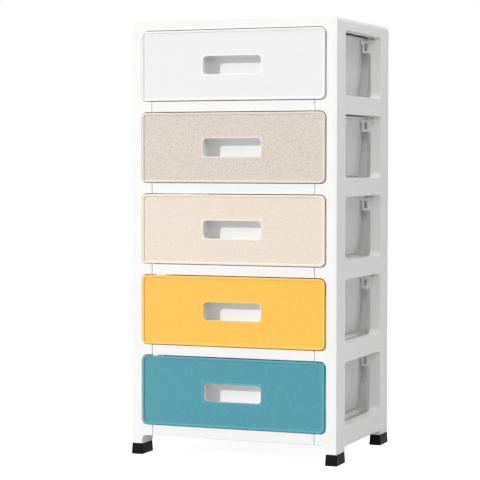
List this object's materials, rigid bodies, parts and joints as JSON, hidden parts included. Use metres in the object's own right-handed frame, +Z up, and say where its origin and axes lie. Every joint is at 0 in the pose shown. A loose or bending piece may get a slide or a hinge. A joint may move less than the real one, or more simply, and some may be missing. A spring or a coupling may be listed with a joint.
{
  "type": "plastic drawer tower",
  "caption": "Free-standing narrow tower of sliding plastic drawers in an open-sided white frame, each drawer with a coloured front and a recessed finger slot.",
  "frame": {"origin": "on the floor, under the middle of the tower's bounding box", "axes": "+X to the right as seen from the front, +Y to the back, +Z up; the drawer fronts face -Y"},
  "size_m": [0.402, 0.3124, 0.8],
  "materials": {
    "frame_white": "smooth moulded polypropylene, white",
    "drawer_milky": "smooth moulded polypropylene, milky white",
    "drawer_white": "smooth moulded polypropylene, white",
    "front_white": "fine moulded grain, white",
    "front_beige": "moulded leather grain, warm beige",
    "front_cream": "moulded leather grain, cream",
    "front_yellow": "moulded leather grain, warm yellow",
    "front_teal": "moulded leather grain, blue-green",
    "foot_black": "matt moulded plastic, black"
  },
  "bodies": {
    "tower_frame": {"left_side_panel": "frame_white", "right_side_panel": "frame_white", "top_cover": "frame_white", "shelf_frame_1": "frame_white", "shelf_frame_2": "frame_white", "shelf_frame_3": "frame_white", "shelf_frame_4": "frame_white", "shelf_frame_5": "frame_white", "back_panel_1": "frame_white", "back_panel_2": "frame_white", "back_panel_3": "frame_white", "back_panel_4": "frame_white", "back_panel_5": "frame_white", "front_left_foot": "foot_black", "front_right_foot": "foot_black", "rear_left_foot": "foot_black", "rear_right_foot": "foot_black"},
    "drawer_1": {"drawer_tub_1": "drawer_milky", "drawer_face_1": "drawer_white", "drawer_cover_1": "front_teal"},
    "drawer_2": {"drawer_tub_2": "drawer_milky", "drawer_face_2": "drawer_white", "drawer_cover_2": "front_yellow"},
    "drawer_3": {"drawer_tub_3": "drawer_milky", "drawer_face_3": "drawer_white", "drawer_cover_3": "front_cream"},
    "drawer_4": {"drawer_tub_4": "drawer_milky", "drawer_face_4": "drawer_white", "drawer_cover_4": "front_beige"},
    "drawer_5": {"drawer_tub_5": "drawer_milky", "drawer_face_5": "drawer_white", "drawer_cover_5": "front_white"}
  },
  "joints": [
    {"name": "drawer_1_slide", "type": "slide", "parent": "tower_frame", "child": "drawer_1", "axis": [0, -1, 0], "range_m": [0, 0.2]},
    {"name": "drawer_2_slide", "type": "slide", "parent": "tower_frame", "child": "drawer_2", "axis": [0, -1, 0], "range_m": [0, 0.2]},
    {"name": "drawer_3_slide", "type": "slide", "parent": "tower_frame", "child": "drawer_3", "axis": [0, -1, 0], "range_m": [0, 0.2]},
    {"name": "drawer_4_slide", "type": "slide", "parent": "tower_frame", "child": "drawer_4", "axis": [0, -1, 0], "range_m": [0, 0.2]},
    {"name": "drawer_5_slide", "type": "slide", "parent": "tower_frame", "child": "drawer_5", "axis": [0, -1, 0], "range_m": [0, 0.2]}
  ]
}
